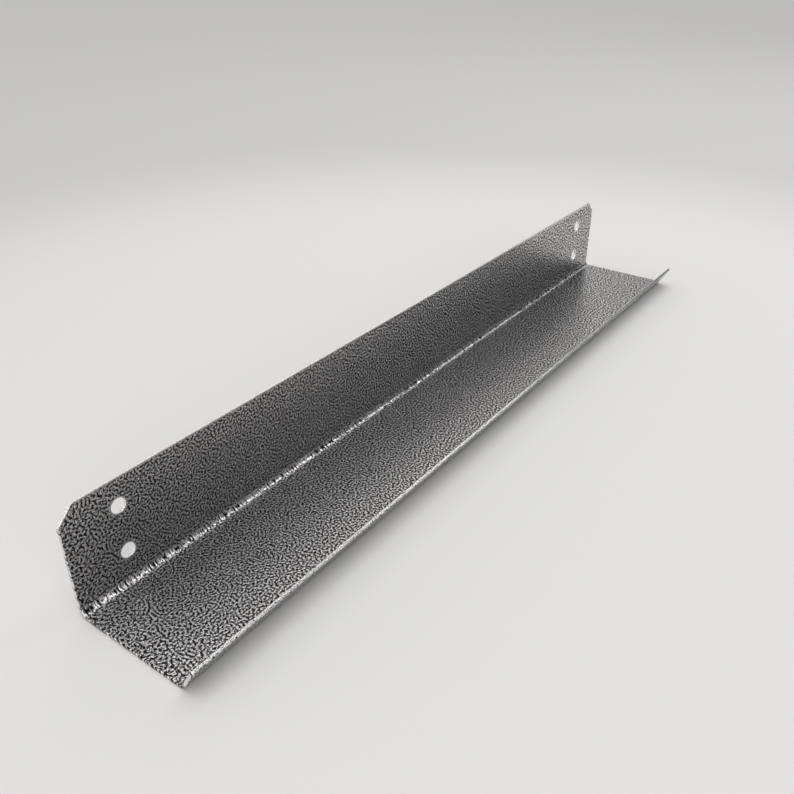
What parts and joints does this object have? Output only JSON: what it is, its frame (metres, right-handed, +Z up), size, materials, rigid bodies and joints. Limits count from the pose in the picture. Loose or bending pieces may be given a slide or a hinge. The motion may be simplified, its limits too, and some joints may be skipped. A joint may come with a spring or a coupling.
{
  "type": "corner brace",
  "caption": "Long folded sheet-steel brace: a tall flange with clipped top corners and screw holes, a flat shelf and a narrow lip that leans out, in a hammered silver coat.",
  "frame": {"origin": "under the middle of the brace: half its length, half its overall depth, at the shelf's underside", "axes": "+X along the folds, +Y out of the flange's rear face, +Z up from the shelf to the flange's top edge"},
  "size_m": [0.45, 0.0658, 0.0508],
  "materials": {
    "hammered_coat": "hammered silver-vein powder coat, black veins round lighter silver islands, semi-gloss"
  },
  "bodies": {
    "root": {"brace": "hammered_coat"}
  },
  "joints": []
}
